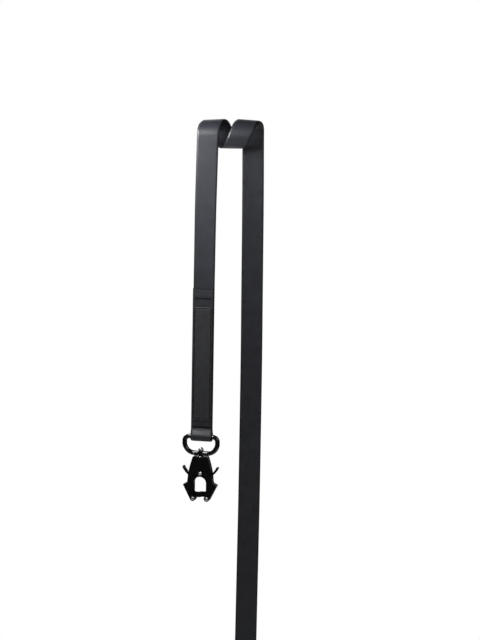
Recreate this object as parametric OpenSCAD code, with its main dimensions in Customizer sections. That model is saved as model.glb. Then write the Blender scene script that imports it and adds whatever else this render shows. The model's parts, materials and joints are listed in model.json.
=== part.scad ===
// Flat strap leash, wound round a rail, with a two-jaw snap clip and a sewn hand loop.
// The rail's axis is X through the origin. Y points away from the viewer and Z is up.
// Inside the clip, u runs across it, v through its thickness and w up along the swivel axis.

/* [Strap] */
// Width of the strap
strap_w = 25; // [20:0.5:27]
// Thickness of the strap
strap_t = 2.5; // [2:0.1:3]
// Bevel along the edges of the strap
strap_bevel = 0.5; // [0.2:0.1:0.8]
// Space left between two sewn layers
layer_gap = 0.1; // [0.05:0.05:0.3]

/* [Rail winding] */
// Diameter of the rail that the strap is wound round
rail_d = 26.9; // [22:0.1:34]
// Space between the rail and the strap
rail_gap = 0.3; // [0.1:0.1:1]
// Sideways distance between the two ends of the winding
wrap_span = 52; // [50:1:64]
// Angle by which the inner edges of the strap lift off the rail
wrap_lift = 4.5; // [0:0.5:8]

/* [Clip end] */
// Depth of the ring's upper bar below the rail's axis
ring_drop = 350.2; // [330:0.1:500]
// Angle that the clip end is turned out of the rail's line
clip_yaw = 13; // [0:1:20]
// Length of the sewn fold above the label patch
fold_l = 21.5; // [18:0.5:40]
// Height of the lower bar tack above the ring's upper bar
loop_h = 10; // [10:0.5:14]
// Distance of the upper bar tack from the cut end of the fold
tack_inset = 11.5; // [6:0.5:14]
// Width of the bar tacks
tack_w = 20; // [12:1:20]
// Height of the bar tacks
tack_h = 2.6; // [2:0.1:4]
// Thickness of the sewing thread
thread_d = 0.5; // [0.3:0.05:0.7]

/* [Label patch] */
// Width of the patch
patch_w = 22.6; // [16:0.2:23]
// Length of the patch
patch_l = 132.5; // [80:1:135]
// Thickness of the patch
patch_t = 1.2; // [0.8:0.1:2]
// Corner radius of the patch
patch_r = 2.5; // [1:0.5:4]
// Height of the patch's lower edge above the ring's upper bar
patch_up = 19.5; // [17:0.5:20]
// Distance of the border stitching from the edge of the patch
stitch_inset = 1.6; // [1.5:0.1:3]
// Length of one stitch
stitch_l = 2.8; // [2:0.1:3.5]
// Distance from one stitch to the next
stitch_step = 4; // [4:0.1:5]

/* [Ring and swivel] */
// Thickness of the ring's wire
ring_wire = 5.6; // [4:0.1:5.6]
// Play of the ring in the sewn fold
ring_play = 0.2; // [0.1:0.05:0.4]
// Sideways place of the ring in the fold
ring_slide = -0.6; // [-1:0.1:1]
// Distance between the ring's upper and lower bars
ring_h = 19.5; // [17:0.5:24]
// Length of the ring's upper bar
ring_top_w = 27.8; // [27.4:0.2:34]
// Radius of the ring's upper corners
ring_corner = 5.5; // [5:0.5:7]
// Straight length of the ring's sides
ring_side = 2; // [1:0.5:3]
// Diameter of the swivel eye in the lower bar
eye_d = 7.2; // [6.4:0.1:9]
// Height of the swivel eye
eye_h = 5.8; // [5.7:0.1:7]
// Diameter of the swivel post
post_d = 3.6; // [3:0.1:4]
// Diameter of the domed head of the post
post_head_d = 5.8; // [5:0.1:6.4]
// Height of the domed head of the post
post_head_h = 4.2; // [1:0.1:4.6]
// Height of the collar between the ring and the clip
collar_h = 0.8; // [0.8:0.1:4]
// Width of the collar at its foot
collar_d = 9; // [7:0.1:9]
// Running clearance of turning parts, on the radius
run_gap = 0.06; // [0.04:0.01:0.08]

/* [Clip shells] */
// Thickness of the clip over both shells
clip_t = 9; // [8.6:0.1:11]
// Thickness of a shell's face
face_t = 1.5; // [1.2:0.1:1.6]
// Thickness of a shell's side wall, measured across the clip
wall_t = 1.6; // [1.2:0.1:1.8]
// Thickness of the wall at the swivel end
top_wall = 2.5; // [2:0.1:3.5]
// Width of the clip at the swivel end
top_w = 17.4; // [15.5:0.1:18]
// Width of the clip at its waist
waist_w = 30; // [29:0.1:32]
// Depth of the waist below the swivel end
waist_at = 31; // [30:0.1:31.5]
// Width of the clip over its shoulders
shoulder_w = 40.2; // [38:0.2:44]
// Depth of the shoulders below the swivel end
shoulder_at = 33.1; // [32.5:0.1:34.5]
// Width of the window between the legs
window_w = 14.9; // [14.6:0.1:16.6]
// Depth of the window's arch below the swivel end
window_at = 23.5; // [23:0.1:25]
// Distance between the two jaw pins
pin_span = 16.5; // [16:0.1:18]
// Depth of the jaw pins below the swivel end
pin_at = 49.2; // [47:0.1:52]
// Radius of the inside corner at the waist
waist_r = 3; // [1:0.5:4]
// Radius of the outer corners
corner_r = 0.8; // [0.3:0.1:1.5]
// Radius of the foot round each jaw pin
foot_r = 3.3; // [3.2:0.1:4]

/* [Rivets] */
// Diameter of the rivets
rivet_d = 3; // [2.4:0.1:3]
// Diameter of the domed rivet heads
rivet_head_d = 4.9; // [4.6:0.1:5.6]
// Height of the domed rivet heads
rivet_head_h = 0.9; // [0.5:0.1:1.4]
// Depth of the centre rivet below the swivel end
rivet_at = 19.6; // [16:0.1:19.6]
// Outer diameter of the spacer on the centre rivet
spacer_d = 4.6; // [4.4:0.1:5]
// Depth of the recess round the heads of the centre rivet
recess = 0.4; // [0.2:0.1:0.6]

/* [Jaws and levers] */
// Thickness of the jaws and levers
blade_t = 2.5; // [2:0.1:2.7]
// Space between two neighbouring moving parts
side_gap = 0.25; // [0.2:0.05:0.35]
// Height of a jaw's gate above its pin, lower edge
gate_low = 1.4; // [1.2:0.1:2]
// Height of the gate bar
gate_h = 6.2; // [3.6:0.1:6.8]
// Distance by which each gate crosses the middle
gate_cross = 3; // [1:0.1:3.4]
// Radius of the inside corner of a jaw
gate_fillet = 2.8; // [2:0.1:3.8]
// Width of a jaw's upper arm
arm_w = 3; // [2.4:0.1:3]
// Height of a jaw's upper arm above its pin
arm_h = 11.5; // [10.5:0.1:11.8]
// Distance of the lever pivots from the middle
pivot_out = 13.8; // [13.6:0.1:14]
// Depth of the lever pivots below the swivel end
pivot_at = 36; // [35.8:0.1:36.2]
// Radius of the lever's hub
lever_hub_r = 2.7; // [2.4:0.1:2.8]
// Diameter of the bosses that the levers turn on
boss_d = 3.2; // [2.6:0.1:3.4]
// Thickness of the lever's horn
horn_t = 2.5; // [2:0.1:2.8]
// Width of the lever's horn through the clip
horn_w = 4.6; // [3:0.1:5]
// Distance of the horn's tip from the middle
horn_out = 20; // [19:0.1:21]
// Depth of the horn's tip below the swivel end
horn_at = 12.8; // [10:0.1:13.5]
// Wire thickness of the springs
spring_wire = 0.5; // [0.4:0.05:0.5]
// Number of turns in each spring
spring_turns = 2; // [1:1:2]

/* [Hand loop] */
// Depth of the top of the hand loop's sewn part below the rail's axis
handle_drop = 700; // [660:5:900]
// Length of the hand loop's sewn part
handle_sewn = 60; // [40:1:90]
// Length of the open hand loop
handle_l = 165; // [130:1:200]
// Width of the open hand loop
handle_open = 58; // [40:1:80]

/* [Hidden] */
$fn = 48;

// Colours
strap_grey = [0.13, 0.13, 0.145];
thread_black = [0.04, 0.04, 0.045];
patch_black = [0.07, 0.07, 0.075];
gloss_black = [0.03, 0.03, 0.035];
shell_black = [0.09, 0.09, 0.1];
silver = [0.78, 0.78, 0.8];

// Round winding: one and a half turns, eased into plumb strands over a sixth of a turn
wrap_turn = 540;
wrap_ease = 60;
wrap_rings = 46;
wrap_r = rail_d / 2 + rail_gap + strap_t / 2;

// Free strands: each point is [distance out past the winding, depth below the rail, share of the turn]
clip_route = [
  [0, 0, 0], [0.3, 20, 0.1], [0.8, 50, 0.25], [1.3, 85, 0.5],
  [1.5, 120, 0.8], [1.6, 150, 0.96], [1.7, 168, 1]
];
clip_route_end = clip_route[len(clip_route) - 1];
handle_route = [
  [0, 0, 0], [0.2, 20, 0.05], [0.6, 50, 0.15], [1, 90, 0.3], [1.3, 140, 0.5], [1.6, 195, 0.7],
  [2, 260, 0.85], [2, 330, 1], [1.8, 430, 1], [1.3, 500, 1], [0.8, 570, 1], [0.5, 620, 1], [0.4, 660, 1]
];
handle_route_end = handle_route[len(handle_route) - 1];

// Sewn layers
layer_off = (strap_t + layer_gap) / 2;
fold_face = strap_t + layer_gap / 2;
fold_r = ring_wire / 2 + ring_play + strap_t / 2;
fold_top = patch_up + patch_l + fold_l;

// Swivel and clip levels, with w = 0 at the swivel end of the clip
eye_low = collar_h;
lower_bar_w = eye_low + eye_h / 2;
clip_level = -ring_h - lower_bar_w;
half_t = clip_t / 2;
cavity = half_t - face_t;
shank_r = post_d / 2;
flange_r = cavity - side_gap;
flange_h = 1.5;
pin_u = pin_span / 2;
window_r = window_w / 2;
arch_w = -window_at - window_r;
hub_r = foot_r - 0.3;
parting = 0.05;
blade_in = side_gap / 2;

function smooth(t) = t * t * (3 - 2 * t);
function unit(v) = v / norm(v);
function turn_z(p, a) = [p[0] * cos(a) - p[1] * sin(a), p[0] * sin(a) + p[1] * cos(a), p[2]];

// Section of the strap as [across, through] points
strap_section = [
  for (s = [[-1, -1, 1, 0], [1, -1, 1, 0], [1, -1, 0, 1], [1, 1, 0, 1],
            [1, 1, 1, 0], [-1, 1, 1, 0], [-1, 1, 0, 1], [-1, -1, 0, 1]])
    [s[0] * (strap_w / 2 - s[2] * strap_bevel), s[1] * (strap_t / 2 - s[3] * strap_bevel)]
];

// One ring of strap points at p, with the strap's width along b and its face along n
function strap_ring(p, b, n) = [for (q = strap_section) p + q[0] * b + q[1] * n];

// Closed body through a row of rings that all have the same number of points
module sweep(rings) {
  sides = len(rings[0]);
  last = len(rings) - 1;
  points = [for (r = rings) for (p = r) p];
  walls = [
    for (i = [0:last - 1]) for (j = [0:sides - 1])
      let (a = i * sides + j, b = i * sides + (j + 1) % sides)
        for (t = [[a, b, a + sides], [b, b + sides, a + sides]]) t
  ];
  first_cap = [for (j = [1:sides - 2]) [0, j + 1, j]];
  last_cap = [for (j = [1:sides - 2]) [last * sides, last * sides + j, last * sides + j + 1]];
  polyhedron(points, concat(walls, first_cap, last_cap), convexity = 8);
}

// Sideways place of the winding at angle a, where a = 0 faces the viewer and 90 is on top
function eased(t) = t * t * t - t * t * t * t / 2;
function wrap_share(a) =
  a < wrap_ease ? wrap_ease * eased(a / wrap_ease) :
  a > wrap_turn - wrap_ease ? wrap_turn - wrap_ease - wrap_ease * eased((wrap_turn - a) / wrap_ease) :
  a - wrap_ease / 2;
function wrap_x(a) = wrap_span * (wrap_share(a) / (wrap_turn - wrap_ease) - 0.5);
function wrap_roll(a) = -wrap_lift * cos(180 * a / wrap_turn);
function wrap_rad(a) = wrap_r + strap_w / 2 * abs(sin(wrap_roll(a)));
function wrap_point(a) = [wrap_x(a), -wrap_rad(a) * cos(a), wrap_rad(a) * sin(a)];
function wrap_ahead(a) =
  a == 0 || a == wrap_turn ? [0, sin(a), cos(a)] : unit(wrap_point(a + 1) - wrap_point(a - 1));
function wrap_out(a) = [0, -cos(a), sin(a)];
function wrap_side(a) = unit(cross(wrap_ahead(a), wrap_out(a)));
function wrap_ring(a) =
  let (t = wrap_ahead(a), b = wrap_side(a), n = cross(b, t), r = wrap_roll(a))
    strap_ring(wrap_point(a), cos(r) * b - sin(r) * n, sin(r) * b + cos(r) * n);
wrap_angles = [for (i = [0:wrap_rings]) wrap_turn * i / wrap_rings];

// Least gap of the winding to itself: its facing edges, one full turn apart
function wrap_edge(a, s) = let (r = wrap_ring(a)) s < 0 ? (r[6] + r[7]) / 2 : (r[2] + r[3]) / 2;
edge_gaps = [
  for (a = wrap_angles) for (b = wrap_angles)
    if (b - a > 240) min([for (s = [-1, 1]) for (t = [-1, 1]) norm(wrap_edge(a, s) - wrap_edge(b, t))])
];
echo(winding_least_gap = min(edge_gaps) - strap_t);

// Rings of a free strand: side is -1 for the strand in front, 1 for the one behind
strand_y = wrap_rad(0);
function strand_ring(p, side, end_yaw) =
  let (yaw = wrap_lift + (end_yaw - wrap_lift) * p[2],
       b = [cos(yaw), -sin(yaw), 0],
       n = [sin(yaw), cos(yaw), 0])
    strap_ring([side * (wrap_span / 2 + p[0]), side * strand_y, -p[1]], -b, n);

// Places: the clip end hangs on the front strand, the hand loop on the back strand
module at_clip_end() {
  translate([-wrap_span / 2 - clip_route_end[0], -strand_y, -ring_drop])
    rotate([0, 0, -clip_yaw])
      translate([0, -layer_off, 0])
        children();
}

module at_ring() {
  at_clip_end() translate([ring_slide, 0, 0]) children();
}

module at_clip() {
  at_ring() translate([0, 0, clip_level]) children();
}

module at_hand_loop() {
  translate([wrap_span / 2 + handle_route_end[0], strand_y, -handle_drop - handle_sewn]) children();
}

// Turns a piece of the left set into its twin on the right
module other_side() {
  rotate([0, 0, 180]) children();
}

// Flat piece drawn in u and w, standing between two levels of v
module slab(from, to) {
  translate([0, to, 0]) rotate([90, 0, 0]) linear_extrude(to - from) children();
}

// Round bar through the clip's thickness at [u, w]
module cross_bar(at, r, from, to) {
  translate([at[0], to, at[1]]) rotate([90, 0, 0]) cylinder(r = r, h = to - from);
}

// Domed head on a flat seat, along +Z
module dome(d, h) {
  cap_r = (d * d / 4 + h * h) / (2 * h);
  intersection() {
    translate([0, 0, h - cap_r]) sphere(r = cap_r);
    cylinder(d = d + 1, h = h + 1);
  }
}

// Strap

// The front strand has finished its turn a little above the fold
turn_rest = 9;
turn_end = ring_drop - fold_top - turn_rest;
module strap_clip_strand() {
  turning = [for (p = clip_route) [p[0], p[1] * turn_end / clip_route_end[1], p[2]]];
  tail = [clip_route_end[0], ring_drop - loop_h, 1];
  color(strap_grey)
    sweep([for (p = concat(turning, [tail])) strand_ring(p, -1, clip_yaw)]);
}

module strap_rail_winding() {
  color(strap_grey) sweep([for (a = wrap_angles) wrap_ring(a)]);
}

module strap_handle_strand() {
  tail = [handle_route_end[0], handle_drop + handle_sewn, 1];
  color(strap_grey)
    sweep([for (p = concat(handle_route, [tail])) strand_ring(p, 1, 0)]);
}

// Ring of strap points on a path in the plane of v and w, where a is the path's heading from +w
function fold_ring(v, w, a) = strap_ring([0, v, w], [1, 0, 0], [0, cos(a), -sin(a)]);

// Back of the fold: from the lower bar tack down to the level of the ring's bar
fold_steps = 5;
fold_back = [
  for (i = [0:fold_steps])
    let (t = i / fold_steps,
         slope = (fold_r - layer_off) / loop_h * 6 * t * (1 - t))
      [layer_off + (fold_r - layer_off) * smooth(t), loop_h * (1 - t), 180 - atan(slope)]
];
fold_turn = [for (a = [18:18:162]) [fold_r * cos(a), -fold_r * sin(a), 180 + a]];
fold_front = [for (i = [fold_steps:-1:0]) let (p = fold_back[i]) [-p[0], p[1], 540 - p[2]]];
fold_path = concat(fold_back, fold_turn, fold_front, [[-layer_off, fold_top, 360]]);

module clip_end_fold() {
  color(strap_grey)
    at_clip_end() sweep([for (p = fold_path) fold_ring(p[0], p[1], p[2])]);
}

// Row of slanted stitches across the strap, lying on a face at level v, on its outer side
module bar_tack(v, w, outward) {
  count = floor(tack_w / (2.6 * thread_d));
  pitch = tack_w / count;
  for (i = [0:count - 1])
    translate([(i + 0.5) * pitch - tack_w / 2, v + outward * thread_d / 2, w])
      rotate([0, 12, 0]) cube([thread_d, thread_d, tack_h], center = true);
}

module clip_end_tacks() {
  color(thread_black)
    at_clip_end()
      for (w = [loop_h + tack_h / 2, fold_top - tack_inset]) {
        bar_tack(-fold_face, w, -1);
        bar_tack(fold_face, w, 1);
      }
}

module label_patch() {
  inner_w = patch_w / 2 - patch_r;
  color(patch_black)
    at_clip_end()
      slab(-fold_face - patch_t, -fold_face)
        translate([0, patch_up])
          union() {
            translate([-patch_w / 2, patch_r]) square([patch_w, patch_l - 2 * patch_r]);
            translate([-inner_w, 0]) square([2 * inner_w, patch_l]);
            for (u = [-inner_w, inner_w]) for (w = [patch_r, patch_l - patch_r])
              translate([u, w]) circle(r = patch_r);
          }
}

// Centres of the stitches along a seam of a given length
function stitch_places(seam) =
  let (count = floor((seam - stitch_l) / stitch_step), run = count * stitch_step)
    [for (i = [0:count]) i * stitch_step - run / 2];

module patch_stitching() {
  seam_u = patch_w / 2 - stitch_inset;
  seam_w = patch_l / 2 - stitch_inset;
  long_run = 2 * seam_w - 2 * patch_r;
  short_run = 2 * seam_u - 2 * patch_r;
  thread = [thread_d, thread_d];
  color(thread_black)
    at_clip_end()
      translate([0, -fold_face - patch_t - thread_d / 2, patch_up + patch_l / 2]) {
        for (u = [-seam_u, seam_u]) for (w = stitch_places(long_run))
          translate([u, 0, w]) cube([thread_d, thread_d, stitch_l], center = true);
        for (w = [-seam_w, seam_w]) for (u = stitch_places(short_run))
          translate([u, 0, w]) cube([stitch_l, thread_d, thread_d], center = true);
      }
}

// Hand loop: a drop-shaped run of strap from the back layer round to the front one
drop_power = 1.6;
drop_peak = max([for (t = [0:2:180]) sin(t) * pow(sin(t / 2), drop_power)]);
drop_rings = 36;
function drop_y(t) =
  handle_open / 2 / drop_peak * sin(t) * pow(abs(sin(t / 2)), drop_power) - 2 * layer_off * t / 360;
function drop_z(t) = -handle_l * (1 - cos(t)) / 2;
function drop_heading(t) =
  t <= 0 ? 180 : t >= 360 ? 360 :
  let (h = atan2(drop_y(t + 0.5) - drop_y(t - 0.5), drop_z(t + 0.5) - drop_z(t - 0.5)))
    h < 0 ? h + 360 : h;
drop_path = [for (i = [0:drop_rings]) let (t = 360 * i / drop_rings) [drop_y(t), drop_z(t), drop_heading(t)]];

module hand_loop() {
  color(strap_grey)
    at_hand_loop()
      sweep([
        for (p = concat(drop_path, [[-2 * layer_off, handle_sewn, 360]])) fold_ring(p[0], p[1], p[2])
      ]);
}

module hand_loop_tacks() {
  color(thread_black)
    at_hand_loop()
      for (w = [tack_h, handle_sewn - tack_inset]) {
        bar_tack(-2 * layer_off - strap_t / 2, w, -1);
        bar_tack(strap_t / 2, w, 1);
      }
}

// Ring and swivel

// Round wire from a to b in the ring's plane
module ring_bar(a, b) {
  run = b - a;
  translate([a[0], 0, a[1]])
    rotate([0, atan2(run[0], run[1]), 0])
      cylinder(d = ring_wire, h = norm(run));
}

// Quarter bend of the ring's wire round c, starting at angle a
module ring_bend(c, r, a) {
  translate([c[0], 0, c[1]])
    rotate([90, 0, 0])
      rotate([0, 0, a])
        rotate_extrude(angle = 90) translate([r, 0]) circle(d = ring_wire);
}

module swivel_ring() {
  low_r = ring_h - ring_corner - ring_side;
  side_u = ring_top_w / 2 + ring_corner;
  top_c = [ring_top_w / 2, -ring_corner];
  low_c = [side_u - low_r, low_r - ring_h];
  color(gloss_black)
    at_ring()
      difference() {
        union() {
          ring_bar([-top_c[0], 0], [top_c[0], 0]);
          ring_bar([-low_c[0], -ring_h], [low_c[0], -ring_h]);
          for (s = [-1, 1]) {
            ring_bend([s * top_c[0], top_c[1]], ring_corner, s > 0 ? 0 : 90);
            ring_bend([s * low_c[0], low_c[1]], low_r, s > 0 ? 270 : 180);
            ring_bar([s * side_u, low_c[1]], [s * side_u, top_c[1]]);
          }
          translate([0, 0, -ring_h - eye_h / 2]) cylinder(d = eye_d, h = eye_h);
        }
        translate([0, 0, -ring_h - eye_h]) cylinder(r = shank_r + run_gap, h = 2 * eye_h);
      }
}

module swivel_post() {
  head_w = eye_low + eye_h + run_gap;
  flange_top = -top_wall - run_gap;
  color(silver)
    at_clip() {
      translate([0, 0, flange_top - flange_h]) cylinder(r = flange_r, h = flange_h);
      translate([0, 0, flange_top - flange_h]) cylinder(r = shank_r, h = head_w - flange_top + flange_h);
      translate([0, 0, head_w]) dome(post_head_d, post_head_h);
    }
}

module swivel_collar() {
  collar_top = eye_d - 0.8;
  color(silver)
    at_clip()
      difference() {
        cylinder(d1 = collar_d, d2 = collar_top, h = collar_h - run_gap);
        translate([0, 0, -1]) cylinder(r = shank_r + run_gap, h = collar_h + 2);
      }
}

// Clip

// Side line of the clip from the swivel end to the waist, bowed in a little
side_steps = 6;
side_bow = 1.2;
side_line = [
  for (i = [0:side_steps])
    let (t = i / side_steps)
      [top_w / 2 + (waist_w - top_w) / 2 * t + side_bow * sin(180 * t), -waist_at * t]
];

// The leg's outer edge runs from the shoulder to the round foot and touches it
shoulder = [shoulder_w / 2, -shoulder_at];
foot = [pin_u, -pin_at];
foot_reach = norm(shoulder - foot);
foot_angle = atan2(shoulder[1] - foot[1], shoulder[0] - foot[0]) - acos(foot_r / foot_reach);
foot_touch = foot + foot_r * [cos(foot_angle), sin(foot_angle)];

// Round corner of radius r at b, between a and c
corner_steps = 6;
function round_corner(a, b, c, r) =
  let (p = unit(a - b), q = unit(c - b), half = acos(p * q) / 2,
       middle = b + unit(p + q) * r / sin(half),
       s = b + p * r / tan(half) - middle,
       e = b + q * r / tan(half) - middle,
       from = atan2(s[1], s[0]),
       to = atan2(e[1], e[0]),
       sweep = to - from > 180 ? to - from - 360 : to - from < -180 ? to - from + 360 : to - from)
    [for (i = [0:corner_steps])
      let (a = from + sweep * i / corner_steps)
        middle + r * [cos(a), sin(a)]];

half_outline = concat(
  round_corner([0, 0], side_line[0], side_line[1], corner_r),
  [for (i = [1:side_steps - 1]) side_line[i]],
  round_corner(side_line[side_steps - 1], side_line[side_steps], shoulder, waist_r),
  round_corner(side_line[side_steps], shoulder, foot_touch, corner_r),
  [foot_touch, foot]
);

function flipped(line) = [for (i = [len(line) - 1:-1:0]) [-line[i][0], line[i][1]]];

module clip_outline() {
  polygon(concat(half_outline, flipped(half_outline)));
}

// Inside of the side walls, open towards the feet
shoulder_wall = 1.2;
module clip_inside() {
  sides = [for (p = side_line) if (p[1] < -top_wall && p[1] > -waist_at) [p[0] - wall_t, p[1]]];
  line = concat(
    [[sides[0][0], -top_wall]], sides,
    [[waist_w / 2 - wall_t, -waist_at - 0.75 * shoulder_wall],
     shoulder - shoulder_wall * [1.4, 0.75],
     foot_touch - shoulder_wall * [1.1, 0]]
  );
  polygon(concat(line, flipped(line)));
}

// One shell, with its outer face towards the viewer and the left lever's boss inside
rim_end = shoulder_at + 4.5;
arch_rim = 1.3;
spacer_clear = 0.15;
head_clear = 0.5;
slot_top = horn_at + 3;
slot_end = rivet_at + 5;
module half_shell() {
  head_recess_r = rivet_head_d / 2 + head_clear;
  difference() {
    union() {
      slab(-half_t, -cavity) clip_outline();
      for (u = [-pin_u, pin_u]) cross_bar([u, -pin_at], foot_r, -half_t, -cavity);
      difference() {
        slab(-cavity, -parting) clip_outline();
        slab(-cavity - 1, 1) clip_inside();
        translate([-shoulder_w, -half_t, -pin_at - 2 * foot_r])
          cube([2 * shoulder_w, clip_t, pin_at + 2 * foot_r - rim_end]);
        translate([-shoulder_w, -cavity, -slot_end])
          cube([2 * shoulder_w, clip_t, slot_end - slot_top]);
      }
      difference() {
        cross_bar([0, arch_w], window_r + arch_rim, -cavity, -parting);
        translate([-shoulder_w, -half_t, arch_w - 2 * window_r])
          cube([2 * shoulder_w, clip_t, 2 * window_r]);
        cross_bar([0, -rivet_at], spacer_d / 2 + spacer_clear, -half_t - 1, 1);
      }
      cross_bar([-pivot_out, -pivot_at], boss_d / 2, -cavity, cavity - run_gap);
    }
    cross_bar([0, arch_w], window_r, -half_t - 1, 1);
    translate([-window_r, -half_t - 1, -pin_at - 2 * foot_r])
      difference() {
        cube([window_w, half_t + 2, pin_at + 2 * foot_r + arch_w]);
        for (u = [window_r - pin_u, window_r + pin_u])
          translate([u, -1, 2 * foot_r]) rotate([-90, 0, 0]) cylinder(r = foot_r, h = clip_t);
      }
    for (u = [-pin_u, pin_u]) cross_bar([u, -pin_at], rivet_d / 2, -half_t - 1, 1);
    cross_bar([0, -rivet_at], rivet_d / 2, -half_t - 1, 1);
    cross_bar([0, -rivet_at], head_recess_r, -half_t - 1, -half_t + recess);
    translate([0, 0, -top_wall - 1]) cylinder(r = shank_r + run_gap, h = top_wall + 2);
  }
}

module front_shell() {
  color(shell_black) at_clip() half_shell();
}

module back_shell() {
  color(shell_black) at_clip() other_side() half_shell();
}

// Rivet with a domed head on each outer face, its seats sunk below those faces
module rivet(at, sunk) {
  seat = half_t - sunk;
  cross_bar(at, rivet_d / 2, -seat, seat);
  for (m = [0, 1]) mirror([0, m, 0])
    translate([at[0], seat, at[1]]) rotate([-90, 0, 0]) dome(rivet_head_d, rivet_head_h);
}

module centre_rivet() {
  color(silver) at_clip() rivet([0, -rivet_at], recess);
}

module centre_spacer() {
  color(silver)
    at_clip()
      difference() {
        cross_bar([0, -rivet_at], spacer_d / 2, -cavity, cavity);
        cross_bar([0, -rivet_at], rivet_d / 2, -half_t, half_t);
      }
}

module left_jaw_pin() {
  color(silver) at_clip() rivet([-pin_u, -pin_at], 0);
}

module right_jaw_pin() {
  color(silver) at_clip() rivet([pin_u, -pin_at], 0);
}

// Outline of the left jaw round its pin: gate to the right, upper arm along the leg, latch heel at the left
heel_tip = 4.1;
leg_set = 0.4;
heel_at = 166;
module jaw_outline() {
  tip = pin_u + gate_cross;
  gate_top = gate_low + gate_h;
  arm_in = pin_u - window_r + leg_set;
  arm_out = arm_in - arm_w;
  corner = [arm_in + gate_fillet, gate_top + gate_fillet];
  tip_r = gate_h / 2;
  fillet = [for (a = [270:-15:180]) corner + gate_fillet * [cos(a), sin(a)]];
  nose = [for (a = [-90:15:90]) [tip - tip_r, gate_low + tip_r] + tip_r * [cos(a), sin(a)]];
  polygon(concat([[arm_out, 0], [gate_low, 0], [hub_r, gate_low]], nose, fillet,
                 [[arm_in, arm_h], [arm_out, arm_h]]));
}

module left_jaw_body() {
  level = [-cavity + blade_in, -cavity + blade_in + blade_t];
  translate([-pin_u, 0, -pin_at])
    difference() {
      union() {
        slab(level[0], level[1]) jaw_outline();
        slab(level[0], level[1])
          polygon([hub_r * [cos(150), sin(150)], heel_tip * [cos(heel_at), sin(heel_at)],
                   hub_r * [cos(195), sin(195)], [0, 0]]);
        cross_bar([0, 0], hub_r, level[0], level[1]);
      }
      cross_bar([0, 0], rivet_d / 2 + run_gap, -half_t, half_t);
    }
}

module left_jaw() {
  color(shell_black) at_clip() left_jaw_body();
}

module right_jaw() {
  color(shell_black) at_clip() other_side() left_jaw_body();
}

// Left lever: horn on an arc, a neck down to the pivot and a strut that ends over the jaw's heel
horn_c = [-1.5, -4.5];
horn_tip = [-horn_out, -horn_at];
horn_r = norm(horn_tip - horn_c);
horn_from = atan2(horn_tip[1] - horn_c[1], horn_tip[0] - horn_c[0]) + 360;
horn_to = 236;
horn_cut = 225;
strut_w = 1.8;
strut_end = [-12.5, -46.6];
function horn_arc(r, from, to) = [
  for (i = [0:10]) horn_c + r * [cos(from + (to - from) * i / 10), sin(from + (to - from) * i / 10)]
];

module horn_outline(to) {
  polygon(concat(horn_arc(horn_r + horn_t / 2, horn_from, to), horn_arc(horn_r - horn_t / 2, to, horn_from)));
}

module left_lever_body() {
  level = [-cavity + blade_in, -cavity + blade_in + blade_t];
  pivot = [-pivot_out, -pivot_at];
  root = horn_c + horn_r * [cos(horn_to), sin(horn_to)];
  neck = horn_t / 2;
  elbow = [-waist_w / 2 + wall_t + 4 * side_gap + neck, -slot_end];
  difference() {
    union() {
      slab(level[0], level[1]) horn_outline(horn_to);
      slab(-horn_w / 2, horn_w / 2) horn_outline(horn_cut);
      cross_bar(horn_tip, horn_t / 2, -horn_w / 2, horn_w / 2);
      cross_bar(root, neck, level[0], level[1]);
      slab(level[0], level[1])
        polygon([root + [-neck, 0], root + [neck, 0], elbow + [neck, 0], pivot + [lever_hub_r, 0],
                 pivot + [4 * side_gap, 0], elbow + [-neck, 0]]);
      slab(level[0], level[1])
        polygon([pivot + [-lever_hub_r, 0], pivot + [lever_hub_r, 0],
                 strut_end + [strut_w / 2, 0], strut_end + [-strut_w / 2, 0]]);
      cross_bar(pivot, lever_hub_r, level[0], level[1]);
    }
    cross_bar(pivot, boss_d / 2 + run_gap, -half_t, half_t);
  }
}

module left_lever() {
  color(gloss_black) at_clip() left_lever_body();
}

module right_lever() {
  color(gloss_black) at_clip() other_side() left_lever_body();
}

// Twist spring round a bar at [u, w], behind the left jaw or lever, with a leg at each end
spring_fine = 12;
spring_clear = 0.45;
module twist_spring(at, bar_r, from, first_leg, last_leg) {
  r = bar_r + spring_clear + spring_wire / 2;
  room = cavity - 2 * blade_in - spring_wire;
  low = blade_in + spring_wire / 2;
  turn = 360 * spring_turns;
  steps = spring_fine * spring_turns;
  start = [from, low, -first_leg];
  coil = [for (i = [0:steps]) let (t = i / steps) [from + turn * t, low + (room - low) * t, 0]];
  finish = [from + turn, room, last_leg];
  wire = spring_wire / 2;
  translate([at[0], 0, at[1]])
    sweep([
      for (p = concat([start], coil, [finish]))
        let (a = p[0],
             out = [cos(a), 0, sin(a)],
             along = [-sin(a), 0, cos(a)],
             middle = r * out + [0, p[1], 0] + p[2] * along)
          [for (s = [0:60:300]) middle + wire * (cos(s) * out + sin(s) * [0, 1, 0])]
    ]);
}

module left_jaw_spring_body() {
  twist_spring([-pin_u, -pin_at], rivet_d / 2, 180, 5, 0.8);
}

module left_lever_spring_body() {
  twist_spring([-pivot_out, -pivot_at], boss_d / 2, 0, 2.5, 6);
}

module left_jaw_spring() {
  color(silver) at_clip() left_jaw_spring_body();
}

module right_jaw_spring() {
  color(silver) at_clip() other_side() left_jaw_spring_body();
}

module left_lever_spring() {
  color(silver) at_clip() left_lever_spring_body();
}

module right_lever_spring() {
  color(silver) at_clip() other_side() left_lever_spring_body();
}

strap_clip_strand();
strap_rail_winding();
strap_handle_strand();
clip_end_fold();
clip_end_tacks();
label_patch();
patch_stitching();
hand_loop();
hand_loop_tacks();
swivel_ring();
swivel_post();
swivel_collar();
front_shell();
back_shell();
centre_rivet();
centre_spacer();
left_jaw();
right_jaw();
left_jaw_pin();
right_jaw_pin();
left_jaw_spring();
right_jaw_spring();
left_lever();
right_lever();
left_lever_spring();
right_lever_spring();
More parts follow.
